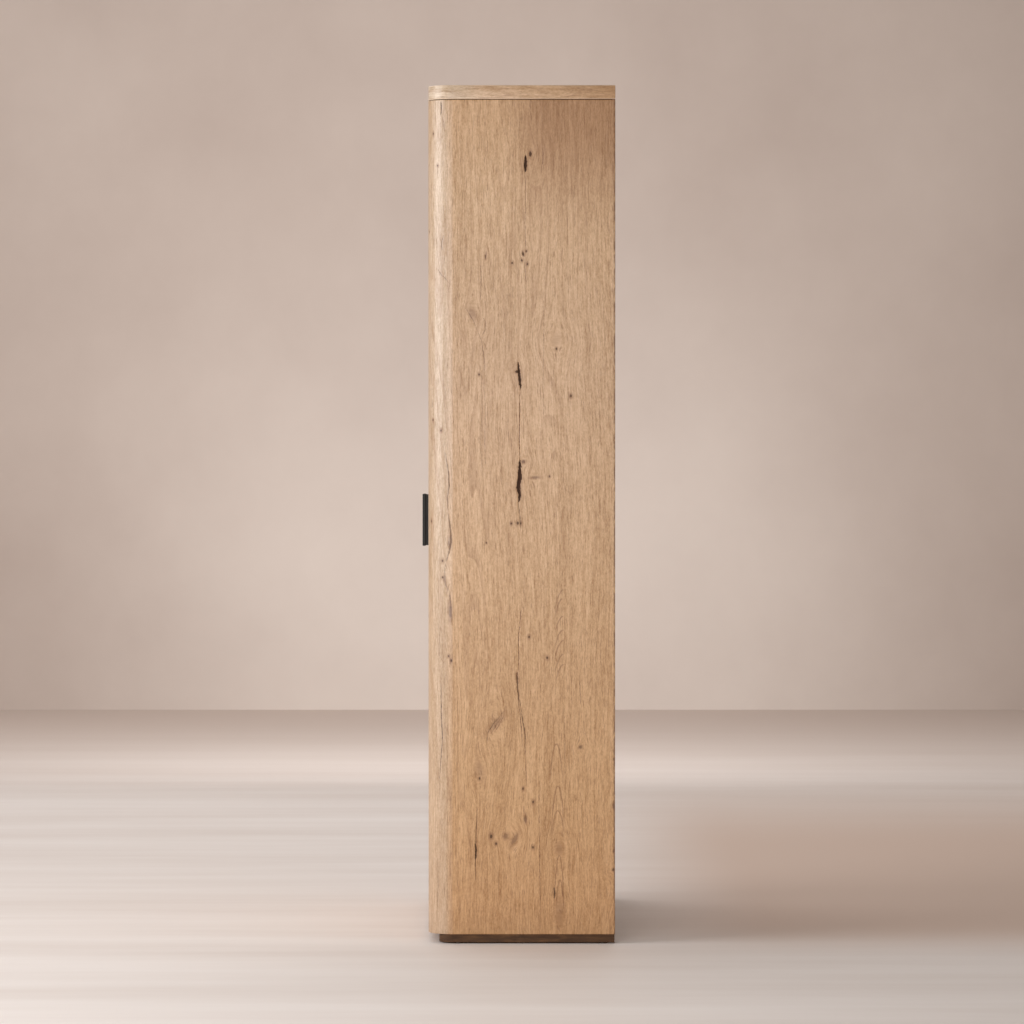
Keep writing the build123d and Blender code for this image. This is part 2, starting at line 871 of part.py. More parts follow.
for side, hand in ((-1, "left"), (1, "right")):
    bush_spots, strike_spots, pull_spots = door_fittings(side)
    save(door_panel(side), f"door_panel_{hand}")
    save(door_face(side), f"door_face_{hand}")
    save(pivot_bush(side, door_bottom, 1), f"bottom_bush_{hand}")
    save(pivot_bush(side, door_top, -1), f"top_bush_{hand}")
    save(door_pull(side), f"pull_{hand}")

    with BuildPart() as bush_screws:
        placed(screw(screw_pivot), bush_spots)
    save(bush_screws.part, f"bush_screws_{hand}")

    with BuildPart() as pull_screws:
        placed(pan_screw(pull_screw_diameter, pull_screw_length - 1), pull_spots)
    save(pull_screws.part, f"pull_screws_{hand}")

    with BuildPart() as strike_plate:
        centre = side * catch_centre
        block(
            (centre - strike_width / 2, centre + strike_width / 2),
            (door_back, door_back + strike_thickness),
            (strike_z - strike_height / 2, strike_z + strike_height / 2),
        )
        fillet(strike_plate.edges().filter_by(Axis.Y), arris)
        placed(small_hole, strike_spots, Mode.SUBTRACT)
    save(strike_plate.part, f"strike_plate_{hand}")

    with BuildPart() as strike_screws:
        placed(screw(screw_small), strike_spots)
    save(strike_screws.part, f"strike_screws_{hand}")
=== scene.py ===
import math
import random

import bmesh
import bpy
import numpy as np
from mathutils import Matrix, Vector


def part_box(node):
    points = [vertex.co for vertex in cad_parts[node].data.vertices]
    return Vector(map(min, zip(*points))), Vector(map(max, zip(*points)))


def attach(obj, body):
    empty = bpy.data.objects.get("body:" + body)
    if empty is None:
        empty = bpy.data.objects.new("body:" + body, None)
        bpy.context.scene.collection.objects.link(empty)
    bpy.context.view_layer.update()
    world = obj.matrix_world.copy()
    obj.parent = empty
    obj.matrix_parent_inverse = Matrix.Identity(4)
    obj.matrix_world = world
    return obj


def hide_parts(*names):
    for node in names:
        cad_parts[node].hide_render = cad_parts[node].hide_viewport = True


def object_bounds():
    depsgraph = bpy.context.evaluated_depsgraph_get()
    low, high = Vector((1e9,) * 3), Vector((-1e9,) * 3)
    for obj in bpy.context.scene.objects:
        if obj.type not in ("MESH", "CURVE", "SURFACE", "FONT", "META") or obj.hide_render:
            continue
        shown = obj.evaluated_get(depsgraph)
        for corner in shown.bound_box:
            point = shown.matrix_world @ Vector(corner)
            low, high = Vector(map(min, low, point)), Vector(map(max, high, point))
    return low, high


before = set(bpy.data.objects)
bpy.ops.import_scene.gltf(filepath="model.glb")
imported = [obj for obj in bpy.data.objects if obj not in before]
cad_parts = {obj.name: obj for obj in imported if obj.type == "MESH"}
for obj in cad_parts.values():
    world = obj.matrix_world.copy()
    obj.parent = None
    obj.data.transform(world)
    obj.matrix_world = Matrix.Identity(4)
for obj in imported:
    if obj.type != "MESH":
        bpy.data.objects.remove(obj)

cad_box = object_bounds()

# ------------------------------------------------------------------ camera
# A long lens stands square to the cabinet's right side, at chest height and about eleven metres
# away, and looks very slightly down, so that the front is on the left and the back on the right.
side_low, side_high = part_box("side_face_right")
CAMERA_DISTANCE = 10.95
CAMERA_HEIGHT = 1.276
CAMERA_TO_MIDDLE = -0.0121
CAMERA_TILT = math.radians(1.054)

camera_data = bpy.data.cameras.new("side_view")
camera_data.lens = 154.95
camera_data.sensor_width = 36
camera_data.clip_end = 200
camera = bpy.data.objects.new("side_view", camera_data)
camera.location = (side_high.x + CAMERA_DISTANCE, CAMERA_TO_MIDDLE, CAMERA_HEIGHT)
camera.rotation_euler = (math.pi / 2 - CAMERA_TILT, 0, math.pi / 2)
bpy.context.scene.collection.objects.link(camera)
bpy.context.scene.camera = camera
bpy.context.scene.view_settings.view_transform = "Standard"


# ------------------------------------------------------------------ studio
# A pale floor and a plaster wall nine metres behind the cabinet, both with painted light and shade.
# The wall has one face only: from its other side it is clear, so that views from behind look through it.
class Finish:
    """A material whose nodes are made by short calls. A value is a number or another output."""

    def __init__(self, name, roughness=0.5):
        self.material = bpy.data.materials.new(name)
        self.material.use_nodes = True
        self.nodes = self.material.node_tree.nodes
        self.links = self.material.node_tree.links
        self.shader = self.nodes["Principled BSDF"]
        self.shader.inputs["Roughness"].default_value = roughness

    def node(self, kind, values=(), output=0, **settings):
        made = self.nodes.new("ShaderNode" + kind)
        for key, setting in settings.items():
            setattr(made, key, setting)
        for place, value in dict(values).items():
            self.feed(made.inputs[place], value)
        return made.outputs[output]

    def feed(self, socket, value):
        if isinstance(value, bpy.types.NodeSocket):
            self.links.new(value, socket)
        else:
            socket.default_value = value

    def math(self, operation, first, second=0.0, clamp=False):
        return self.node("Math", {0: first, 1: second}, operation=operation, use_clamp=clamp)

    def between(self, value, low, high):
        """Rises smoothly from 0 at low to 1 at high, or falls where low is the greater."""
        turned = low > high
        return self.node(
            "MapRange",
            {"Value": value, "From Min": min(low, high), "From Max": max(low, high),
             "To Min": 1.0 if turned else 0.0, "To Max": 0.0 if turned else 1.0},
            interpolation_type="SMOOTHSTEP")

    def stretched(self, vector, scale, shift=(0, 0, 0)):
        return self.node("Mapping", {"Vector": vector, "Location": shift, "Scale": scale})

    def noise(self, vector, detail=2.0, roughness=0.5, scale=1.0):
        return self.node(
            "TexNoise", {"Vector": vector, "Scale": scale, "Detail": detail, "Roughness": roughness})

    def ramp(self, value, stops):
        made = self.nodes.new("ShaderNodeValToRGB")
        elements = made.color_ramp.elements
        while len(elements) < len(stops):
            elements.new(0.5)
        for element, (position, colour) in zip(elements, stops):
            element.position = position
            element.color = colour
        self.feed(made.inputs[0], value)
        return made.outputs[0]

    def mix(self, share, first, second, blend="MIX"):
        made = self.nodes.new("ShaderNodeMix")
        made.data_type = "RGBA"
        made.blend_type = blend
        self.feed(made.inputs[0], share)
        self.feed(made.inputs[6], first)
        self.feed(made.inputs[7], second)
        return made.outputs[2]

    def bump(self, height, distance, strength):
        return self.node("Bump", {"Height": height, "Distance": distance, "Strength": strength})

    def paint(self, **inputs):
        for name, value in inputs.items():
            self.feed(self.shader.inputs[name.replace("_", " ")], value)
        return self.material


def tone(red, green, blue):
    """A colour given as it looks on a screen, 0 to 255, as the linear values that a node takes."""
    linear = [c / 12.92 if c <= 0.04045 else ((c + 0.055) / 1.055) ** 2.4
              for c in (red / 255, green / 255, blue / 255)]
    return (*linear, 1.0)


def stage_plane(name, size, location, rotation, material):
    made = bmesh.new()
    bmesh.ops.create_grid(made, x_segments=1, y_segments=1, size=size / 2)
    mesh = bpy.data.meshes.new(name)
    made.to_mesh(mesh)
    made.free()
    plane = bpy.data.objects.new(name, mesh)
    plane.location = location
    plane.rotation_euler = rotation
    mesh.materials.append(material)
    bpy.context.scene.collection.objects.link(plane)


WALL_BEHIND = 9.2
plaster = Finish("studio_plaster", roughness=0.95)
position = plaster.node("TexCoord", output=3)
mottle = plaster.noise(position, detail=5, roughness=0.6, scale=0.9)
apart = plaster.nodes.new("ShaderNodeSeparateXYZ")
plaster.feed(apart.inputs[0], plaster.node("NewGeometry"))
# Painted light: the lower middle of the wall is lighter, a painted pool of light.
upper_tone = plaster.ramp(mottle, [(0.3, tone(199, 184, 175)), (0.7, tone(210, 196, 187))])
lower_tone = plaster.ramp(mottle, [(0.3, tone(228, 216, 208)), (0.7, tone(238, 227, 219))])
painted_wall_light = plaster.math("MULTIPLY", plaster.between(apart.outputs[2], 2.6, 0.4),
                          plaster.between(plaster.math("ABSOLUTE", apart.outputs[1]), 2.4, 0.8))
plaster.paint(Base_Color=plaster.mix(painted_wall_light, upper_tone, lower_tone))
clear = plaster.node("BsdfTransparent")
one_sided = plaster.nodes.new("ShaderNodeMixShader")
plaster.links.new(plaster.node("NewGeometry", output="Backfacing"), one_sided.inputs[0])
plaster.links.new(plaster.shader.outputs[0], one_sided.inputs[1])
plaster.links.new(clear, one_sided.inputs[2])
plaster.links.new(one_sided.outputs[0], plaster.nodes["Material Output"].inputs[0])
stage_plane("studio_wall", 40, (side_high.x - WALL_BEHIND, 0, 0), (0, math.pi / 2, 0), plaster.material)

floor_finish = Finish("studio_floor", roughness=0.55)
position = floor_finish.node("TexCoord", output=3)
cloudy = floor_finish.noise(floor_finish.stretched(position, (3.2, 0.4, 1)), detail=6, roughness=0.6)
floor_tone = floor_finish.ramp(cloudy, [(0.3, tone(227, 218, 213)), (0.7, tone(241, 235, 232))])
apart = floor_finish.nodes.new("ShaderNodeSeparateXYZ")
floor_finish.feed(apart.inputs[0], position)
# Painted shade: the floor darkens towards the wall.
far = floor_finish.between(apart.outputs[0], -2.5, -8.5)
floor_tone = floor_finish.mix(far, floor_tone, tone(205, 190, 181))
# Painted shadow: a darker patch on the floor behind the cabinet and to its right stands in for its cast
# shadow.
painted_shadow = floor_finish.math("MULTIPLY", floor_finish.between(apart.outputs[1], 0.15, 0.7),
                           floor_finish.between(apart.outputs[0], 0.9, 0.1))
painted_shadow = floor_finish.math("MULTIPLY", painted_shadow, floor_finish.between(apart.outputs[0], -5.0, -2.0))
floor_finish.paint(Base_Color=floor_finish.mix(painted_shadow, floor_tone, tone(212, 190, 176)))
stage_plane("studio_floor", 60, (0, 0, 0), (0, 0, 0), floor_finish.material)


def softbox(name, location, aim, size, power, colour):
    data = bpy.data.lights.new(name, "AREA")
    data.shape = "RECTANGLE"
    data.size, data.size_y = size
    data.energy = power
    data.color = colour
    light = bpy.data.objects.new(name, data)
    light.location = location
    light.visible_camera = False
    light.rotation_euler = (Vector(aim) - Vector(location)).to_track_quat("-Z", "Y").to_euler()
    bpy.context.scene.collection.objects.link(light)


softbox("key_from_the_front", (1.9, -4.6, 2.1), (0.4, 0, 1.1), (3.2, 2.4), 150, (1.0, 0.99, 0.985))
softbox("fill_from_the_side", (4.4, -0.9, 1.35), (0.5, 0, 1.1), (1.8, 1.2), 55, (1.0, 0.985, 0.97))
softbox("light_from_above", (-3.6, -2.0, 5.6), (-3.6, -2.0, 0), (5.0, 7.5), 215, (1.0, 0.985, 0.975))
softbox("light_on_the_wall", (-4.4, -0.2, 2.0), (-8.7, -0.2, 1.6), (2.0, 1.4), 40, (1.0, 0.97, 0.95))
world = bpy.data.worlds.new("studio_air")
world.use_nodes = True
world.node_tree.nodes["Background"].inputs[0].default_value = tone(236, 227, 218)
world.node_tree.nodes["Background"].inputs[1].default_value = 0.35
bpy.context.scene.world = world

# ------------------------------------------------------------------ knotty oak faces
# Sawn oak faces 3 mm thick on the sides and doors, and a solid quarter-round post between each
# pair. One run of boards goes from the rear edge round the curve and on to the doors, brushed and
# oiled matt, with open cracks and dark knots left in. Each face is a fine grid that is sunk where
# a crack or a knot is open.
MM = 0.001
TO_MM = 1 / MM
FACE_THICKNESS = 0.003
FINE_CRACK = 2.3  # a crack narrower than this, in millimetres, is only a brown line
BROKEN_CRACK = 4  # one narrower than this comes and goes along its length
OPEN_CRACK = 2.6  # one wider than this gets a finer grid to sink into
CRACK_LIP = 0.0004
KNOT_DEPTH = 0.0008
CLOSEST_STEP = 0.0006
SIDE_BACK = side_high.y
POST_BACK = side_low.y
HALF_WIDTH = side_high.x
post_low, post_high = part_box("corner_post_right")
CURVE = round(post_high.y - post_low.y, 3)
POST_HALF = HALF_WIDTH - CURVE
SIDE_RUN = SIDE_BACK - POST_BACK
CURVE_RUN = CURVE * math.pi / 2
ARRIS = 0.0015
HEIGHT = cad_box[1].z


def steps(low, high, spacing, fine=(), fine_spacing=0.001, rounding=(True, True)):
    """Places from low to high that lie closer in the fine stretches and round the two edges."""
    places = list(np.linspace(low, high, max(2, round((high - low) / spacing) + 1)))
    for start, end in fine:
        places = [p for p in places if not start <= p <= end]
        places += list(np.arange(start, end, fine_spacing))
    for rounded, edge, inward in ((rounding[0], low, 1), (rounding[1], high, -1)):
        if rounded:
            places = [p for p in places if abs(p - edge) > ARRIS * 1.3]
            places += [edge + inward * ARRIS * s for s in (0, 0.08, 0.3, 0.62, 1.0)]
    kept = []
    for place in sorted(places):
        near_edge = min(place - low, high - place) <= ARRIS * 1.01
        if not kept or near_edge or place - kept[-1] > CLOSEST_STEP:
            kept.append(place)
    return np.array(kept)


def rolled(distance):
    """How far a rounded edge has dropped, at a distance in from where the face ends."""
    inside = np.clip(ARRIS - distance, 0, ARRIS)
    return ARRIS - np.sqrt(np.maximum(ARRIS ** 2 - inside ** 2, 0))


def crack_line(crack, v):
    """Where a crack runs and half how wide it is, at each height."""
    points = np.array(crack["line"], float) * MM
    order = np.argsort(points[:, 1])
    us, vs = points[order, 0], points[order, 1]
    middle = np.interp(v, vs, us)
    along = np.clip((v - vs[0]) / (vs[-1] - vs[0]), 0, 1)
    half = crack["width"] * MM / 2 * np.sqrt(np.sin(along * math.pi).clip(0, 1))
    return middle, np.where((v > vs[0]) & (v < vs[-1]), half, 0)


def sunk(u, v, marks):
    """How deep the open cracks and knots are at each place on a face."""
    depth = np.zeros_like(u)
    for crack in marks["cracks"]:
        middle, half = crack_line(crack, v)
        inside = np.clip(1 - np.abs(u - middle) / (half + CRACK_LIP), 0, 1) * (half > 0)
        depth = np.maximum(depth, crack["depth"] * MM * inside)
    for ku, kv, across, along, tilt, dark in marks["knots"]:
        du, dv = (u - ku * MM), (v - kv * MM)
        c, s = math.cos(tilt), math.sin(tilt)
        reach = np.hypot((du * c + dv * s) / (across * MM / 2), (dv * c - du * s) / (along * MM / 2))
        depth = np.maximum(depth, KNOT_DEPTH * dark * np.clip(1.2 - reach, 0, 1))
    return depth


def grain_across(u, v, marks):
    """The grain's own measure across the boards, which bends round the knots and wanders."""
    bent = u + 0.012 * np.sin(v * 2.1 + 3 * u) + 0.005 * np.sin(v * 5.3 + 1.7 + 9 * u)
    bent = bent + 0.3 * (v - 0.09) * np.exp(-(u / 0.026) ** 2 - ((v - 0.09) / 0.09) ** 2)
    for ku, kv, across, along, tilt, dark in marks["knots"]:
        du, dv = (u - ku * MM), (v - kv * MM)
        wide, tall = max(min(across, along), 5) * MM * 1.3, max(along, 12) * MM * 2.0
        bent = bent - 0.9 * wide * np.tanh(du / wide) * np.exp(-(du / (2.4 * wide)) ** 2 - (dv / tall) ** 2)
    return bent


def face_mesh(name, columns, rows, thickness, shape, marks, worn):
    """A closed sheet on a grid of places (u along the run of boards, v up), with its two maps."""
    grid = bmesh.new()
    bmesh.ops.create_grid(grid, x_segments=len(columns) - 1, y_segments=len(rows) - 1, size=0.5)
    rim = [e for e in grid.edges if e.is_boundary]
    lowered = bmesh.ops.extrude_edge_only(grid, edges=rim)["geom"]
    lowered = [g for g in lowered if isinstance(g, bmesh.types.BMVert)]
    bmesh.ops.translate(grid, vec=(0, 0, -1), verts=lowered)
    bmesh.ops.holes_fill(grid, edges=[e for e in grid.edges if e.is_boundary], sides=0)
    mesh = bpy.data.meshes.new(name)
    grid.to_mesh(mesh)
    grid.free()
    places = np.zeros(len(mesh.vertices) * 3, np.float32)
    mesh.vertices.foreach_get("co", places)
    places = places.reshape(-1, 3)
    i = np.rint((places[:, 0] + 0.5) * (len(columns) - 1)).astype(int)
    j = np.rint((places[:, 1] + 0.5) * (len(rows) - 1)).astype(int)
    back = places[:, 2] < -0.5
    u, v = columns[i], rows[j]
    depth = sunk(u, v, marks)
    edge_gaps = {"low_u": u - columns[0], "high_u": columns[-1] - u,
                 "low_v": v - rows[0], "high_v": rows[-1] - v}
    inset = np.hypot.reduce([rolled(edge_gaps[edge]) for edge in worn])
    depth = np.clip(depth, 0, thickness * 0.8) + np.minimum(inset, ARRIS)
    depth = np.where(back, thickness, np.maximum(depth, 0))
    mesh.vertices.foreach_set("co", shape(u, v, depth).astype(np.float32).ravel())
    end_u = (i == len(columns) - 1).astype(float) - (i == 0)
    end_v = (j == len(rows) - 1).astype(float) - (j == 0)
    u_map, v_map = u + back * end_u * thickness, v + back * end_v * thickness
    corners = np.zeros(len(mesh.loops), np.int32)
    mesh.loops.foreach_get("vertex_index", corners)
    for layer, across in (("place", u_map), ("grain", grain_across(u_map, v_map, marks))):
        flat = np.stack([across, v_map], axis=1)[corners]
        mesh.uv_layers.new(name=layer).data.foreach_set("uv", flat.astype(np.float32).ravel())
    mesh.polygons.foreach_set("use_smooth", np.ones(len(mesh.polygons), bool))
    mesh.update()
    return mesh


def stand(name, mesh, material, node, body):
    """Links a face that takes the place of a CAD node, with its edges kept crisp."""
    piece = bpy.data.objects.new(name, mesh)
    mesh.materials.append(material)
    bpy.context.scene.collection.objects.link(piece)
    mesh.set_sharp_from_angle(angle=math.radians(40))
    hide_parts(node)
    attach(piece, body)


def curve_node(finish, value, points):
    """A curve from 0 to 1 through the given points, straight between them."""
    made = finish.nodes.new("ShaderNodeFloatCurve")
    line = made.mapping.curves[0]
    for _ in range(len(points) - 2):
        line.points.new(0.5, 0.5)
    for point, (x, y) in zip(line.points, points):
        point.location = (x, y)
        point.handle_type = "VECTOR"
    made.mapping.update()
    finish.feed(made.inputs["Value"], value)
    return made.outputs[0]


def oak_colours(oak, grain, base, seed):
    """The tone of brushed oak: bands of board, growth lines, streaks, fibre and open pores."""
    def layer(across, along, shift, **settings):
        return oak.noise(oak.stretched(grain, (across, along, 1), (0, 0, seed + shift)), **settings)

    board = layer(5.5, 0.42, 0.0, detail=2)
    band = layer(26, 0.7, 3.1, detail=3, roughness=0.6)
    streak = layer(95, 6.5, 7.7, detail=3, roughness=0.65)
    dash = layer(230, 26, 9.2, detail=2, roughness=0.6)
    fibre = layer(520, 30, 11.3, detail=3, roughness=0.65)
    grit = layer(330, 150, 13.6, detail=2, roughness=0.6)
    long_line = layer(260, 1.6, 17.2, detail=2, roughness=0.6)
    speckle = layer(900, 160, 15.9, detail=2, roughness=0.7)
    pore = layer(620, 34, 19.4, detail=2, roughness=0.6)
    shade = oak.math("MULTIPLY", oak.math("SUBTRACT", board, 0.5), 0.42)
    for part, weight in (
            (band, 0.5), (streak, 0.62), (dash, 0.75), (grit, 0.75), (long_line, 0.5),
            (fibre, 0.4), (speckle, 0.3)):
        shade = oak.math("ADD", shade, oak.math("MULTIPLY", oak.math("SUBTRACT", part, 0.5), weight))
    share = oak.node("MapRange", {"Value": shade, "From Min": -0.50, "From Max": 0.50})
    colour = oak.mix(1.0, base, oak.ramp(share, [
        (0.0, (0.55, 0.40, 0.26, 1)), (0.3, (0.82, 0.75, 0.63, 1)), (0.6, (1.05, 1.03, 0.98, 1)),
        (1.0, (1.29, 1.34, 1.38, 1))]), "MULTIPLY")
    # growth lines are the level lines of a long slow noise, as in a flat-sawn board
    rings = oak.math("FRACT", oak.math("MULTIPLY", layer(8.5, 0.6, 23.0, detail=1.5), 26))
    line = oak.between(rings, 0.55, 1.0)
    line = oak.math("MULTIPLY", line, oak.between(board, 0.40, 0.62))
    colour = oak.mix(oak.math("MULTIPLY", line, 0.32), colour, tone(150, 106, 70))
    dashes = oak.between(pore, 0.42, 0.32)
    colour = oak.mix(oak.math("MULTIPLY", dashes, 0.45), colour, tone(118, 76, 44))
    return colour, fibre, dashes, streak


def knotty_oak(name, marks, seed, gloss, pale):
    """The oak of one face: its colours with painted light and shade, and its cracks, knots and pin knots in
    their places.
    """
    oak = Finish(name)
    grain = oak.node("UVMap", uv_map="grain")
    place = oak.node("UVMap", uv_map="place")
    apart = oak.nodes.new("ShaderNodeSeparateXYZ")
    oak.feed(apart.inputs[0], place)
    u, v = apart.outputs[0], apart.outputs[1]
    # The tone by height is the boards' own tone together with painted light and shade: darker near the
    # floor and lightest a little below the top.
    base = oak.ramp(oak.math("DIVIDE", v, HEIGHT), [
        (0.012, tone(191, 149, 108)), (0.05, tone(201, 158, 116)), (0.17, tone(204, 164, 123)),
        (0.3, tone(204, 166, 128)), (0.42, tone(206, 170, 134)), (0.65, tone(204, 171, 140)),
        (0.75, tone(203, 170, 138)), (0.87, tone(210, 177, 144)), (0.97, tone(205, 169, 134))])
    # Painted shade: the upper rear corner of each side is darker.
    base = oak.mix(oak.math("MULTIPLY", oak.between(v, 1.68, 2.07), oak.between(u, 0.30, 0.16)), base,
                   tone(170, 131, 97))
    # Painted sheen: a pale grey cast from where the curve begins, on the posts and the doors.
    painted_sheen = oak.between(u, SIDE_RUN, SIDE_RUN + 0.022)
    base = oak.mix(oak.math("MULTIPLY", painted_sheen, pale), base, tone(176, 169, 160))
    colour, fibre, dashes, streak = oak_colours(oak, grain, base, seed)
    worn = oak.noise(oak.stretched(place, (260, 45, 1)), detail=3, roughness=0.6)
    worn = oak.math("MULTIPLY", oak.between(u, 0.007, 0.001), oak.between(worn, 0.40, 0.56))
    colour = oak.mix(oak.math("MULTIPLY", worn, 0.72), colour, tone(96, 62, 40))
    ragged = oak.math("SUBTRACT", oak.noise(oak.stretched(place, (420, 130, 1)), detail=3), 0.5)
    waver = oak.math("SUBTRACT", oak.noise(oak.stretched(place, (15, 75, 1)), detail=3, roughness=0.6), 0.5)
    for middle, apex, wide, rise, both in marks["arches"]:
        aside = oak.math("ADD", oak.math("SUBTRACT", u, middle * MM), oak.math("MULTIPLY", waver, 0.006))
        aside = oak.math("DIVIDE", aside, wide * MM)
        drop = oak.math("MULTIPLY", oak.math("MULTIPLY", aside, aside), rise * MM)
        steep = oak.math("MULTIPLY", aside, 2 * rise / wide)
        steep = oak.math("SQRT", oak.math("ADD", oak.math("MULTIPLY", steep, steep), 1.0))
        gap = oak.math("ABSOLUTE", oak.math("SUBTRACT", oak.math("ADD", v, drop), apex * MM))
        ring = oak.between(oak.math("DIVIDE", gap, steep), 0.0024, 0.0006)
        ring = oak.math("MULTIPLY", ring, oak.between(oak.math("ABSOLUTE", aside), 1.15, 0.7))
        if not both:
            ring = oak.math("MULTIPLY", ring, oak.between(aside, -0.05, 0.1))
        colour = oak.mix(oak.math("MULTIPLY", ring, 0.5), colour, tone(126, 82, 50))
    broken = oak.noise(oak.stretched(place, (25, 55, 1), (0, 0, 8)), detail=3, roughness=0.6)
    broken = oak.node("MapRange", {
        "Value": broken, "From Min": 0.38, "From Max": 0.6, "To Min": 0.45, "To Max": 1.0})
    dark = warm = fine = 0.0
    for crack in marks["cracks"]:
        points = sorted(((z, x) for x, z in crack["line"]))
        low, high = points[0][0], points[-1][0]
        left = min(x for z, x in points) - 1
        span = max(x for z, x in points) + 1 - left
        up = oak.node("MapRange", {"Value": v, "From Min": low * MM, "From Max": high * MM})
        middle = curve_node(oak, up, [((z - low) / (high - low), (x - left) / span) for z, x in points])
        middle = oak.math("MULTIPLY_ADD", middle, span * MM)
        oak.feed(middle.node.inputs[2], left * MM)
        middle = oak.math("ADD", middle, oak.math("MULTIPLY", waver, 0.0035))
        taper = oak.math("SQRT", oak.math("SINE", oak.math("MULTIPLY", up, math.pi)))
        half = oak.math("MULTIPLY", taper, crack["width"] * MM / 2)
        off = oak.math("ABSOLUTE", oak.math("SUBTRACT", u, middle))
        off = oak.math("ADD", off, oak.math("MULTIPLY", ragged, 0.002 + 0.0006 * crack["width"]))
        inside = oak.node("MapRange", {
            "Value": oak.math("SUBTRACT", half, off), "From Min": -0.0006, "From Max": 0.0006})
        ends = oak.math("MULTIPLY", oak.between(taper, 0.05, 0.3), crack["dark"])
        inside = oak.math("MULTIPLY", inside, ends)
        if crack["width"] < BROKEN_CRACK:
            inside = oak.math("MULTIPLY", inside, broken)
        if crack["width"] < FINE_CRACK:
            inside = oak.math("MULTIPLY", inside, 1.75, clamp=True)
            fine = oak.math("MAXIMUM", fine, inside)
            continue
        near = oak.node("MapRange", {
            "Value": oak.math("SUBTRACT", half, off), "From Min": -0.009, "From Max": 0.0})
        near = oak.math("MULTIPLY", oak.math("MULTIPLY", near, taper),
                        min(0.5, 0.09 * crack["width"]) * crack["dark"])
        dark = oak.math("MAXIMUM", dark, inside)
        warm = oak.math("MAXIMUM", warm, near)
    for ku, kv, across, along, tilt, deep in marks["knots"]:
        local = oak.node("Mapping", {
            "Vector": place, "Location": (ku * MM, kv * MM, 0), "Rotation": (0, 0, -tilt),
            "Scale": (across * MM / 2, along * MM / 2, 1)}, vector_type="TEXTURE")
        reach = oak.node("VectorMath", {0: local}, output="Value", operation="LENGTH")
        reach = oak.math("ADD", reach, oak.math("MULTIPLY", ragged, 1.1))
        dark = oak.math("MAXIMUM", dark, oak.math("MULTIPLY", oak.between(reach, 1.05, 0.55), deep ** 1.6))
        warm = oak.math("MAXIMUM", warm, oak.math(
            "MULTIPLY", oak.between(reach, 2.2, 0.5), min(0.8, 0.2 + 1.2 * deep)))
    for pu, pv, size in marks["pins"]:
        gap = oak.node("VectorMath", {
            0: oak.stretched(place, (1, 0.7, 1)), 1: (pu * MM, pv * MM * 0.7, 0)},
            output="Value", operation="DISTANCE")
        gap = oak.math("ADD", gap, oak.math("MULTIPLY", ragged, 0.002))
        dark = oak.math("MAXIMUM", dark, oak.math(
            "MULTIPLY", oak.between(gap, size * MM * 0.6, size * MM * 0.3), 0.75))
        warm = oak.math("MAXIMUM", warm, oak.math(
            "MULTIPLY", oak.between(gap, size * MM * 1.7, size * MM * 0.5), 0.7))
    uneven = oak.node("MapRange", {
        "Value": streak, "From Min": 0.3, "From Max": 0.7, "To Min": 1.15, "To Max": 0.35})
    colour = oak.mix(oak.math("MULTIPLY", warm, uneven, clamp=True), colour, tone(136, 92, 58))
    colour = oak.mix(fine, colour, tone(108, 68, 42))
    colour = oak.mix(dark, colour, tone(50, 25, 11))
    height = oak.math("SUBTRACT", oak.math("ADD", fibre, oak.math("MULTIPLY", streak, 0.8)), dashes)
    rough = oak.node("MapRange", {"Value": streak, "To Min": 0.32, "To Max": 0.46})
    rough = oak.math("MAXIMUM", rough, dark)
    oak.shader.inputs["Specular IOR Level"].default_value = gloss
    return oak.paint(Base_Color=colour, Roughness=rough, Normal=oak.bump(height, 0.0005, strength=0.5))


def open_crack(width, depth, dark, *line):
    """A crack's width, depth and darkness, and the points (forward, up) that it runs through."""
    return {"width": width, "depth": depth, "dark": dark, "line": line}


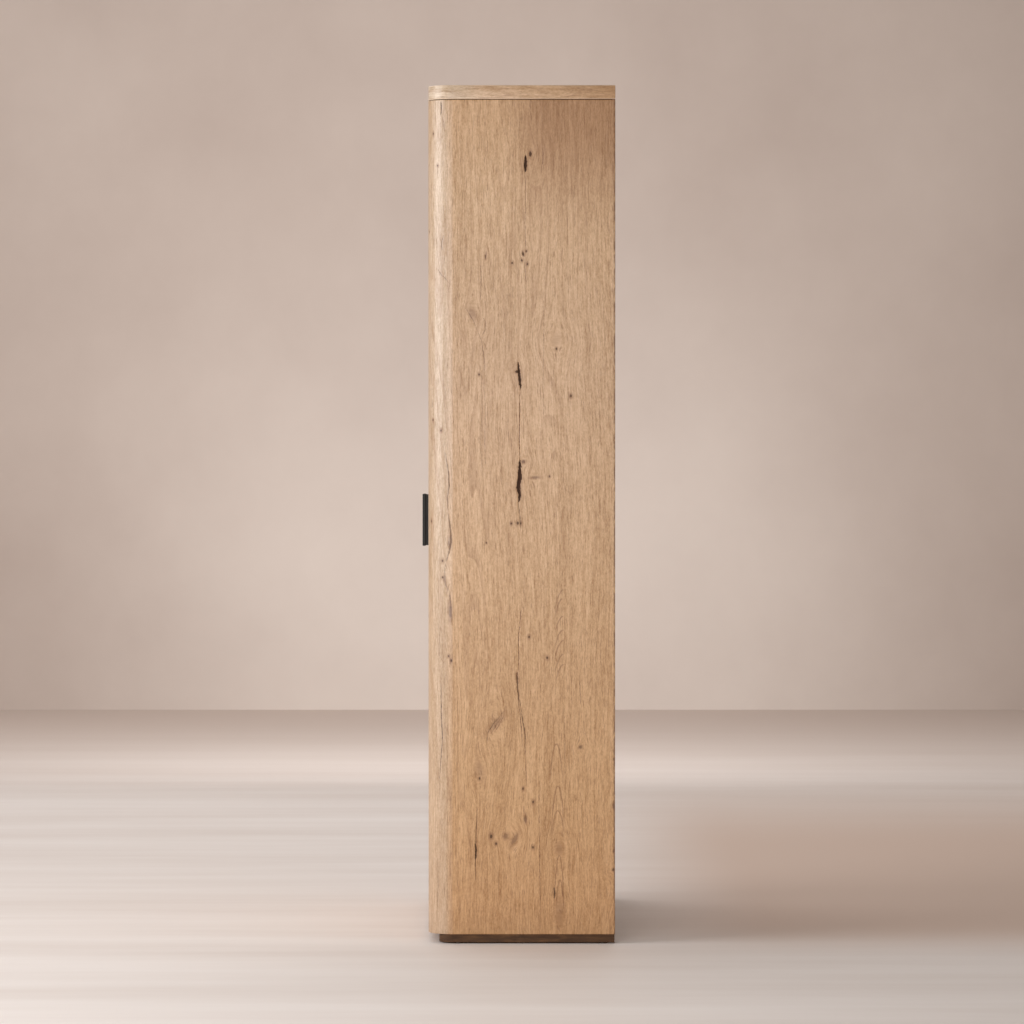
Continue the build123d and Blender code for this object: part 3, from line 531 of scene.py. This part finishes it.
# Marks on the right side, in millimetres: forward from the rear edge, and above the floor.
# Knots are (forward, up, width, length, tilt, darkness), pin knots (forward, up, size).
right_side_marks = {
    "cracks": [
        open_crack(7, 2.0, 0.95, (224, 1917), (223, 1940), (222, 1960)),
        open_crack(1.5, 0.5, 0.45, (222, 1712), (224, 1790), (222, 1870), (223, 1925)),
        open_crack(1.6, 0.5, 0.45, (221, 1640), (224, 1675), (226, 1705)),
        open_crack(2.0, 0.5, 0.55, (180, 1930), (179, 1955), (180, 1980)),
        open_crack(1.7, 0.5, 0.5, (335, 1600), (333, 1640), (334, 1700)),
        open_crack(2.2, 0.6, 0.55, (343, 1526), (350, 1545), (361, 1564), (372, 1582)),
        open_crack(1.8, 0.5, 0.5, (322, 1410), (326, 1460), (332, 1500), (344, 1530)),
        open_crack(1.6, 0.4, 0.45, (331, 1512), (322, 1528), (321, 1545), (329, 1558)),
        open_crack(1.5, 0.4, 0.4, (319, 1478), (323, 1490), (333, 1503)),
        open_crack(1.5, 0.4, 0.4, (321, 1180), (324, 1250), (322, 1330), (328, 1400)),
        open_crack(1.3, 0.4, 0.4, (331, 1170), (334, 1250), (330, 1330), (333, 1420)),
        open_crack(1.3, 0.3, 0.35, (178, 1310), (179, 1420), (177, 1530), (180, 1620)),
        open_crack(6.5, 2.0, 0.95, (234, 1378), (237, 1400), (239, 1425), (241, 1448)),
        open_crack(2.0, 1.0, 0.72, (236, 1195), (238, 1260), (237, 1320), (236, 1385)),
        open_crack(10, 2.2, 0.95, (240, 1098), (237, 1115), (241, 1135), (237, 1160), (236, 1205)),
        open_crack(3.0, 0.8, 0.55, (234, 1030), (236, 1060), (241, 1100)),
        open_crack(1.9, 0.6, 0.6, (244, 655), (239, 700), (240, 760), (233, 838)),
        open_crack(4.2, 1.3, 0.6, (238, 600), (242, 640), (244, 676)),
        open_crack(2.6, 0.9, 0.75, (224, 470), (223, 520), (231, 565), (237, 612)),
        open_crack(1.5, 0.4, 0.6, (230, 500), (235, 560), (241, 612)),
        open_crack(1.5, 0.3, 0.5, (187, 8), (186, 120), (188, 250), (190, 380)),
        open_crack(1.3, 0.3, 0.45, (124, 400), (125, 480), (126, 570)),
        open_crack(1.8, 0.5, 0.45, (219, 385), (222, 430), (223, 490)),
        open_crack(2.6, 0.9, 0.7, (346, 155), (347, 200), (345, 290), (342, 340)),
        open_crack(5, 1.6, 0.9, (347, 208), (346, 230), (347, 250)),
        open_crack(1.8, 0.4, 0.5, (86, 600), (88, 655)),
        open_crack(4, 1.0, 0.7, (151, 112), (150, 127), (152, 142)),
        open_crack(2.6, 0.8, 0.6, (319, 500), (317, 524), (304, 546), (290, 562), (276, 580)),
        open_crack(1.8, 0.5, 0.5, (301, 526), (287, 547), (277, 568)),
        open_crack(1.6, 0.5, 0.4, (309, 520), (296, 545), (284, 560), (281, 576)),
        open_crack(1.5, 0.4, 0.4, (275, 578), (272, 594)),
    ],
    "knots": [
        (211, 1963, 8, 16, 0.0, 0.85), (244, 1423, 11, 8, 0.0, 0.9), (228, 1199, 12, 9, 0.3, 0.55),
        (229, 1716, 6, 13, 0.2, 0.85), (221, 1722, 5, 6, 0.0, 0.8), (322, 1709, 4, 12, 0.0, 0.7),
        (354, 1566, 15, 30, 0.5, 0.2), (199, 1160, 22, 7, 0.05, 0.45),
        (298, 548, 16, 56, -0.75, 0.3), (336, 432, 16, 44, 0.1, 0.25),
        (272, 268, 14, 14, 0.0, 0.4), (250, 260, 12, 32, -0.5, 0.45), (223, 311, 8, 20, 0.0, 0.5),
        (86, 490, 8, 10, -0.4, 0.6), (148, 1500, 20, 26, 0.0, 0.12), (244, 662, 7, 22, 0.1, 0.5),
        (139, 237, 15, 24, 0.0, 0.14), (139, 78, 18, 56, 0.0, 0.16), (3, 460, 5, 10, 0.0, 0.6),
        (4, 343, 6, 16, 0.1, 0.55), (3, 231, 5, 10, 0.0, 0.55), (4, 184, 7, 8, 0.0, 0.75),
    ],
    "pins": [
        (256, 1693, 4.5), (218, 1690, 4.5), (232, 1699, 5), (338, 1416, 4), (146, 1480, 5),
        (110, 1363, 5), (258, 1046, 4.5), (242, 1047, 6), (235, 1046, 4.5), (320, 998, 3.5),
        (214, 764, 5), (169, 712, 5), (337, 412, 5), (229, 386, 4.5), (204, 353, 5),
        (308, 267, 7), (296, 249, 5), (204, 240, 5), (163, 1163, 3.5), (238, 1160, 6),
    ],
    # arches of a flat-sawn board: (middle, top, half width, drop at that width, on both sides)
    "arches": [
        (146, 497, 17, 90, True), (142, 392, 16, 95, True), (142, 331, 16, 60, True),
        (139, 219, 13, 120, True), (137, 158, 10, 70, True), (129, 881, 20, 44, False),
        (131, 858, 19, 46, False), (129, 815, 21, 42, False), (129, 781, 21, 44, False),
        (128, 755, 21, 40, False), (128, 721, 21, 42, False), (128, 695, 20, 44, False),
    ],
}

# Marks on the right post: forward from the side's rear edge as before, so 404 is where the curve
# begins and 500 is at the door.
right_post_marks = {
    "cracks": [
        open_crack(3.5, 1.2, 0.75, (434, 2060), (432, 2075), (434, 2095)),
        open_crack(2.0, 0.6, 0.45, (424, 2018), (426, 2040), (432, 2062)),
        open_crack(3.0, 1.0, 0.6, (431, 1724), (432, 1745), (427, 1762)),
        open_crack(2.6, 1.0, 0.75, (413, 1643), (424, 1657), (432, 1662), (445, 1680)),
        open_crack(2.5, 0.8, 0.7, (464, 1334), (463, 1355)),
        open_crack(3.0, 1.2, 0.6, (415, 1075), (416, 1110), (412, 1140), (414, 1175), (423, 1225)),
        open_crack(4.5, 1.4, 0.5, (420, 950), (410, 985), (407, 1005), (409, 1032), (414, 1072)),
        open_crack(3.0, 1.0, 0.45, (404, 790), (408, 840), (411, 876), (422, 895), (424, 930), (420, 952)),
        open_crack(2.6, 1.0, 0.75, (439, 408), (436, 440), (432, 485), (430, 515), (433, 560), (434, 655)),
        open_crack(1.8, 0.5, 0.4, (434, 655), (428, 700), (440, 720), (438, 765), (442, 796)),
        open_crack(3.0, 0.9, 0.35, (444, 84), (443, 150), (444, 214)),
    ],
    "knots": [
        (411, 1002, 9, 26, 0.0, 0.4), (424, 905, 8, 24, 0.2, 0.3), (409, 828, 8, 42, 0.0, 0.5),
    ],
    "pins": [
        (459, 2015, 4.5), (444, 1935, 4), (480, 1772, 4), (461, 1303, 4.5), (434, 1277, 4.5),
        (468, 1051, 5), (430, 953, 5), (430, 912, 4.5), (407, 705, 5), (414, 716, 4),
    ],
    "arches": [],
}


def side_shape(side):
    def shape(u, v, depth):
        return np.stack([side * (HALF_WIDTH - depth), SIDE_BACK - u, v], axis=1)
    return shape


def post_shape(side):
    def shape(u, v, depth):
        turn = (u - SIDE_RUN) / CURVE
        reach = CURVE - depth
        x, y = side * (POST_HALF + reach * np.cos(turn)), POST_BACK - reach * np.sin(turn)
        return np.stack([x, y, v], axis=1)
    return shape


def chance_marks(seed, u_range, v_range, cracks, knots, pins, arches=0):
    """Marks for a face whose own aren't known: a few long cracks with knots strung along them."""
    chance = random.Random(seed)
    marks = {"cracks": [], "knots": [], "pins": [], "arches": []}
    for _ in range(cracks):
        u, v = chance.uniform(*u_range), chance.uniform(*v_range)
        length = chance.uniform(60, 380)
        line = [(u + chance.uniform(-5, 5), v + length * k / 4) for k in range(5)]
        line = [(min(max(x, u_range[0] + 8), u_range[1] - 8), min(z, v_range[1] - 6)) for x, z in line]
        if line[-1][1] - line[0][1] < 30 or line[-1][1] - line[-2][1] < 2:
            continue
        wide = chance.choice((1.8, 2.4, 3.0, 5.5))
        marks["cracks"].append(open_crack(wide, min(2.0, 0.35 * wide), chance.uniform(0.45, 0.9), *line))
        if chance.random() < 0.6:
            x, z = line[chance.randrange(5)]
            marks["knots"].append((x + 3, z, chance.uniform(6, 12), chance.uniform(8, 20), 0.0, 0.75))
    for _ in range(knots):
        marks["knots"].append((
            chance.uniform(u_range[0] + 30, u_range[1] - 30),
            chance.uniform(v_range[0] + 60, v_range[1] - 60), chance.uniform(9, 24),
            chance.uniform(16, 48), chance.uniform(-0.5, 0.5), chance.uniform(0.2, 0.5)))
    for _ in range(pins):
        marks["pins"].append((chance.uniform(*u_range), chance.uniform(*v_range), chance.uniform(3.5, 5.5)))
    for _ in range(arches):
        middle = chance.uniform(u_range[0] + 60, u_range[1] - 60)
        top = chance.uniform(v_range[0] + 600, v_range[1] - 60)
        for _ in range(6):
            marks["arches"].append((middle, top, chance.uniform(12, 22), chance.uniform(70, 130), True))
            middle, top = middle + chance.uniform(-3, 3), top - chance.uniform(45, 110)
    return marks


CORNER_END = SIDE_RUN + CURVE_RUN
heights = (side_low.z * TO_MM, side_high.z * TO_MM)
left_side_marks = chance_marks(11, (12, SIDE_RUN * TO_MM - 12), heights, 9, 5, 14, 2)
left_post_marks = chance_marks(
    12, (SIDE_RUN * TO_MM + 10, CORNER_END * TO_MM - 14), heights, 5, 1, 8)


def fine_stretches(marks, low, high):
    """Where the columns of a face lie closer: along the cracks that are really open."""
    wide = []
    for crack in marks["cracks"]:
        if crack["width"] >= OPEN_CRACK:
            us = [x * MM for x, _ in crack["line"]]
            wide.append([max(low, min(us) - 0.005), min(high, max(us) + 0.005)])
    wide.sort()
    merged = []
    for start, end in wide:
        if merged and start <= merged[-1][1]:
            merged[-1][1] = max(merged[-1][1], end)
        else:
            merged.append([start, end])
    return merged


def oak_face(kind, hand, columns, rows, thickness, shape, marks, worn, finish, node, body):
    """Makes one face with its material (finish is its seed, gloss and strength of painted sheen) and links
    it.
    """
    name = f"oak_{kind}_{hand}"
    mesh = face_mesh(name, columns, rows, thickness, shape, marks, worn)
    if hand == "left":
        mesh.flip_normals()
    stand(name, mesh, knotty_oak(name, marks, *finish), node, body)


GRAIN_SEEDS = {"left": 40.0, "right": 5.0}
rows = steps(side_low.z, side_high.z, 0.005)
for side, hand, side_marks, post_marks in (
        (-1, "left", left_side_marks, left_post_marks), (1, "right", right_side_marks, right_post_marks)):
    fine = fine_stretches(side_marks, 0.002, SIDE_RUN - 0.001)
    columns = steps(0, SIDE_RUN, 0.004, fine, 0.00125, (True, False))
    oak_face("side", hand, columns, rows, FACE_THICKNESS, side_shape(side), side_marks,
             ("low_u", "low_v", "high_v"), (GRAIN_SEEDS[hand], 0.5, 0.0), f"side_face_{hand}", "cabinet")
    fine = fine_stretches(post_marks, SIDE_RUN + 0.001, CORNER_END - 0.002)
    columns = steps(SIDE_RUN, CORNER_END, 0.003, fine, 0.0015, (False, True))
    oak_face("post", hand, columns, rows, CURVE, post_shape(side), post_marks,
             ("high_u", "low_v", "high_v"), (GRAIN_SEEDS[hand], 0.9, 0.38), f"corner_post_{hand}",
             "cabinet")

# The doors carry on the run of boards from the posts to the gap in the middle.
for side, hand in ((-1, "left"), (1, "right")):
    low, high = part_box(f"door_face_{hand}")
    hinge_x, meet_x = max(abs(low.x), abs(high.x)), min(abs(low.x), abs(high.x))
    run_start = CORNER_END + POST_HALF - hinge_x
    run_end = run_start + hinge_x - meet_x
    marks = chance_marks(20 + side, (run_start * TO_MM + 10, run_end * TO_MM - 10),
                         (low.z * TO_MM, high.z * TO_MM), 11, 5, 16, 2)

    def door_shape(u, v, depth, side=side, front=low.y, start=run_start, hinge=hinge_x):
        return np.stack([side * (hinge - (u - start)), front + depth, v], axis=1)

    fine = fine_stretches(marks, run_start + 0.001, run_end - 0.002)
    columns = steps(run_start, run_end, 0.0045, fine, 0.0015, (False, True))
    oak_face("door", hand, columns, steps(low.z, high.z, 0.0055), FACE_THICKNESS, door_shape, marks,
             ("high_u", "low_v", "high_v"), (GRAIN_SEEDS[hand], 0.55, 0.2), f"door_face_{hand}",
             f"door_{hand}")

# ------------------------------------------------------------------ plain oak boards
# Cores of the sides and doors, shelves, top and bottom boards and backs: plainer and smoother
# oak, with its grain along the level boards and up the upright ones.


def plain_oak(name, along, seed, lighten):
    oak = Finish(name)
    position = oak.node("TexCoord", output=3)
    turned = oak.nodes.new("ShaderNodeSeparateXYZ")
    oak.feed(turned.inputs[0], position)
    x, y, z = turned.outputs
    joined = oak.nodes.new("ShaderNodeCombineXYZ")
    if along == "X":
        across, length = oak.math("ADD", y, z), x
    else:
        across, length = oak.math("ADD", x, y), z
    oak.feed(joined.inputs[0], across)
    oak.feed(joined.inputs[1], length)
    base = tone(203, 170, 140)
    colour, fibre, dashes, streak = oak_colours(oak, joined.outputs[0], base, seed)
    colour = oak.mix(lighten, colour, tone(214, 184, 154))
    height = oak.math("SUBTRACT", fibre, dashes)
    rough = oak.node("MapRange", {"Value": streak, "To Min": 0.42, "To Max": 0.56})
    return oak.paint(Base_Color=colour, Roughness=rough, Normal=oak.bump(height, 0.0003, strength=0.4))


def dress(material, *nodes):
    """Gives CAD nodes a material in their own slots."""
    for node in nodes:
        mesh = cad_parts[node].data
        mesh.materials.clear()
        mesh.materials.append(material)


dress(plain_oak("level_board_oak", "X", 71.0, lighten=0.12), "bottom_panel", "sub_top", "fixed_shelf",
      "back_rail", "shelf_1", "shelf_2", "shelf_3", "shelf_4")
dress(plain_oak("upright_board_oak", "Z", 81.0, lighten=0.12), "side_panel_left", "side_panel_right",
      "door_panel_left", "door_panel_right", "back_panel_upper", "back_panel_lower")

# ------------------------------------------------------------------ top slab
# A thick oak slab that stands on the spacer, with the posts' curve at its two front corners. Its
# lipping has its grain round the edge, the top surface has it along X, and the arrises have a
# painted highlight.
slab_low, slab_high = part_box("top_slab")
slab = bmesh.new()
bmesh.ops.create_grid(slab, x_segments=1, y_segments=1, size=0.5)
for vertex in slab.verts:
    vertex.co = (vertex.co.x * 2 * HALF_WIDTH, slab_low.y if vertex.co.y < 0 else slab_high.y, slab_low.z)
front_corners = [w for w in slab.verts if w.co.y < 0]
bmesh.ops.bevel(slab, geom=front_corners, offset=CURVE, offset_type="OFFSET", affect="VERTICES",
                segments=20, profile=0.5, material=-1)
raised = bmesh.ops.extrude_face_region(slab, geom=slab.faces[:])["geom"]
bmesh.ops.translate(slab, vec=(0, 0, slab_high.z - slab_low.z),
                    verts=[g for g in raised if isinstance(g, bmesh.types.BMVert)])
bmesh.ops.recalc_face_normals(slab, faces=slab.faces[:])
rims = [e for e in slab.edges if abs(e.verts[0].co.z - e.verts[1].co.z) < 1e-6]
rims += [e for e in slab.edges if abs(e.verts[0].co.z - e.verts[1].co.z) > 0.01 and e.verts[0].co.y > 0]
bmesh.ops.bevel(slab, geom=rims, offset=ARRIS, offset_type="OFFSET", affect="EDGES", segments=3,
                profile=0.5, material=-1)
GRAIN_SHIFT = 3  # keeps the grain of the two ends and the front apart
CORNER_SHORTENING = 0.93  # the way round a corner is shorter than along its two sides
grain_map = slab.loops.layers.uv.new("grain")
for face in slab.faces:
    for loop in face.loops:
        x, y, z = loop.vert.co
        if abs(face.normal.z) > 0.75:
            loop[grain_map].uv = (y, x)
        elif abs(face.normal.x) > abs(face.normal.y):
            loop[grain_map].uv = (z, y + GRAIN_SHIFT * (1 if face.normal.x > 0 else -1))
        else:
            loop[grain_map].uv = (z, slab_low.y + GRAIN_SHIFT - (HALF_WIDTH - x) * CORNER_SHORTENING)
slab_mesh = bpy.data.meshes.new("oak_top_slab")
slab.to_mesh(slab_mesh)
slab.free()
slab_mesh.polygons.foreach_set("use_smooth", np.ones(len(slab_mesh.polygons), bool))
slab_mesh.set_sharp_from_angle(angle=math.radians(30))

slab_oak = Finish("top_slab_oak")
apart = slab_oak.nodes.new("ShaderNodeSeparateXYZ")
slab_oak.feed(apart.inputs[0], slab_oak.node("TexCoord", output=3))
# Painted light: the slab is paler at the front, a painted highlight, and darker towards the back, painted
# shade.
slab_tone_and_painted_light = slab_oak.ramp(
    slab_oak.node("MapRange", {"Value": apart.outputs[1], "From Min": slab_low.y, "From Max": slab_high.y}),
    [(0.0, tone(200, 182, 164)), (0.16, tone(206, 182, 157)), (0.3, tone(212, 181, 152)),
     (0.55, tone(205, 171, 138)), (1.0, tone(190, 152, 116))])
slab_colour, slab_fibre, slab_pores, slab_streak = oak_colours(
    slab_oak, slab_oak.node("UVMap", uv_map="grain"), slab_tone_and_painted_light, 61.0)
# Painted highlight: a pale band along the top and bottom arrises of the slab's edge.
from_edge = slab_oak.math("MINIMUM", slab_oak.math("SUBTRACT", slab_high.z, apart.outputs[2]),
                          slab_oak.math("SUBTRACT", apart.outputs[2], slab_low.z))
painted_arris_highlight = slab_oak.math("MULTIPLY", slab_oak.between(from_edge, 0.0022, 0.0010),
                         slab_oak.between(from_edge, 0.00002, 0.0003))
slab_colour = slab_oak.mix(slab_oak.math("MULTIPLY", painted_arris_highlight, 0.55), slab_colour, tone(232, 210, 186))
slab_oak.shader.inputs["Specular IOR Level"].default_value = 0.75
slab_rough = slab_oak.node("MapRange", {"Value": slab_streak, "To Min": 0.34, "To Max": 0.48})
slab_skin = slab_oak.bump(slab_oak.math("SUBTRACT", slab_fibre, slab_pores), 0.0003, strength=0.4)
slab_oak.paint(Base_Color=slab_colour, Roughness=slab_rough, Normal=slab_skin)
slab_piece = bpy.data.objects.new("oak_top_slab", slab_mesh)
slab_mesh.materials.append(slab_oak.material)
bpy.context.scene.collection.objects.link(slab_piece)
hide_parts("top_slab")
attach(slab_piece, "cabinet")

# ------------------------------------------------------------------ plinth and spacer
# Low oak boards stained dark brown, and the black strip that keeps the slab off the body.
stain = Finish("dark_stained_oak")
stain.shader.inputs["Specular IOR Level"].default_value = 0.25
position = stain.node("TexCoord", output=3)
streaks = stain.noise(stain.stretched(position, (22, 22, 160)), detail=4, roughness=0.65)
wear = stain.noise(position, detail=4, roughness=0.6, scale=35)
stain_colour = stain.ramp(
    streaks, [(0.25, tone(62, 40, 24)), (0.5, tone(80, 54, 33)), (0.75, tone(104, 72, 44))])
stain_colour = stain.mix(stain.math("MULTIPLY", stain.between(wear, 0.58, 0.72), 0.25), stain_colour,
                         tone(118, 88, 64))
stain.paint(Base_Color=stain_colour,
            Roughness=stain.node("MapRange", {"Value": wear, "To Min": 0.42, "To Max": 0.62}),
            Normal=stain.bump(streaks, 0.0004, strength=0.5))
dress(stain.material, "plinth_front", "plinth_back", "plinth_side_left", "plinth_side_right",
      "plinth_corner_left", "plinth_corner_right")

strip = Finish("black_strip", roughness=0.8)
position = strip.node("TexCoord", output=3)
strip.paint(Base_Color=strip.ramp(strip.noise(strip.stretched(position, (30, 30, 400)), detail=3),
                                  [(0.3, tone(22, 18, 15)), (0.7, tone(38, 31, 26))]))
dress(strip.material, "reveal_spacer")

# ------------------------------------------------------------------ metal and plastic fittings
# Powder-coated pulls, brushed pivots and strikes, bronze bushes, plated screws and pins, and
# moulded catches, washers, glides and bumpers.


def metal(name, light, dark, roughness, scale):
    finish = Finish(name)
    finish.shader.inputs["Metallic"].default_value = 1.0
    position = finish.node("TexCoord", output=3)
    brushed = finish.noise(finish.stretched(position, scale), detail=4, roughness=0.6)
    return finish.paint(
        Base_Color=finish.ramp(brushed, [(0.3, dark), (0.7, light)]),
        Roughness=finish.node(
            "MapRange", {"Value": brushed, "To Min": roughness[0], "To Max": roughness[1]}),
        Normal=finish.bump(brushed, 0.00005, strength=0.4))


def moulded(name, light, dark, roughness, grain=1400):
    finish = Finish(name)
    position = finish.node("TexCoord", output=3)
    skin = finish.noise(position, detail=3, roughness=0.6, scale=grain)
    return finish.paint(
        Base_Color=finish.ramp(finish.noise(position, detail=3, scale=60), [(0.3, dark), (0.7, light)]),
        Roughness=finish.node("MapRange", {"Value": skin, "To Min": roughness[0], "To Max": roughness[1]}),
        Normal=finish.bump(skin, 0.00008, strength=0.5))


powder = moulded("black_powder_coat", tone(15, 14, 13), tone(9, 8, 8), (0.42, 0.56), 2600)
powder.node_tree.nodes["Principled BSDF"].inputs["Specular IOR Level"].default_value = 0.35
dress(powder, "pull_left", "pull_right")
dress(metal("plated_screws", tone(196, 192, 184), tone(168, 164, 156), (0.28, 0.42), (300, 300, 300)),
      "plinth_screws", "glide_screws", "slab_screws", "back_screws", "pivot_screws", "catch_screws",
      "shelf_pins", "bush_screws_left", "bush_screws_right", "strike_screws_left", "strike_screws_right",
      "pull_screws_left", "pull_screws_right")
dress(metal("brushed_pivot_steel", tone(158, 155, 150), tone(120, 118, 114), (0.28, 0.44), (40, 900, 900)),
      "bottom_pivot_left", "bottom_pivot_right", "top_pivot_left", "top_pivot_right")
dress(metal("nickel_strikes", tone(186, 182, 174), tone(150, 147, 140), (0.24, 0.38), (30, 30, 1200)),
      "strike_plate_left", "strike_plate_right")
dress(metal("bearing_bronze", tone(186, 146, 92), tone(148, 110, 64), (0.32, 0.5), (60, 700, 700)),
      "bottom_bush_left", "bottom_bush_right", "top_bush_left", "top_bush_right")
dress(moulded("brown_catch_plastic", tone(58, 46, 38), tone(44, 34, 28), (0.4, 0.55)),
      "magnetic_catch_left", "magnetic_catch_right")
dress(moulded("black_glide_nylon", tone(26, 24, 23), tone(17, 16, 15), (0.45, 0.6)), "glides")
dress(moulded("natural_washer_nylon", tone(226, 220, 204), tone(208, 200, 184), (0.35, 0.5)),
      "thrust_washers")
dress(moulded("soft_bumper_rubber", tone(206, 203, 196), tone(186, 183, 176), (0.45, 0.6)), "door_bumpers")
dress(plain_oak("beech_dowels", "X", 91.0, lighten=0.5), "carcass_dowels", "corner_splines")
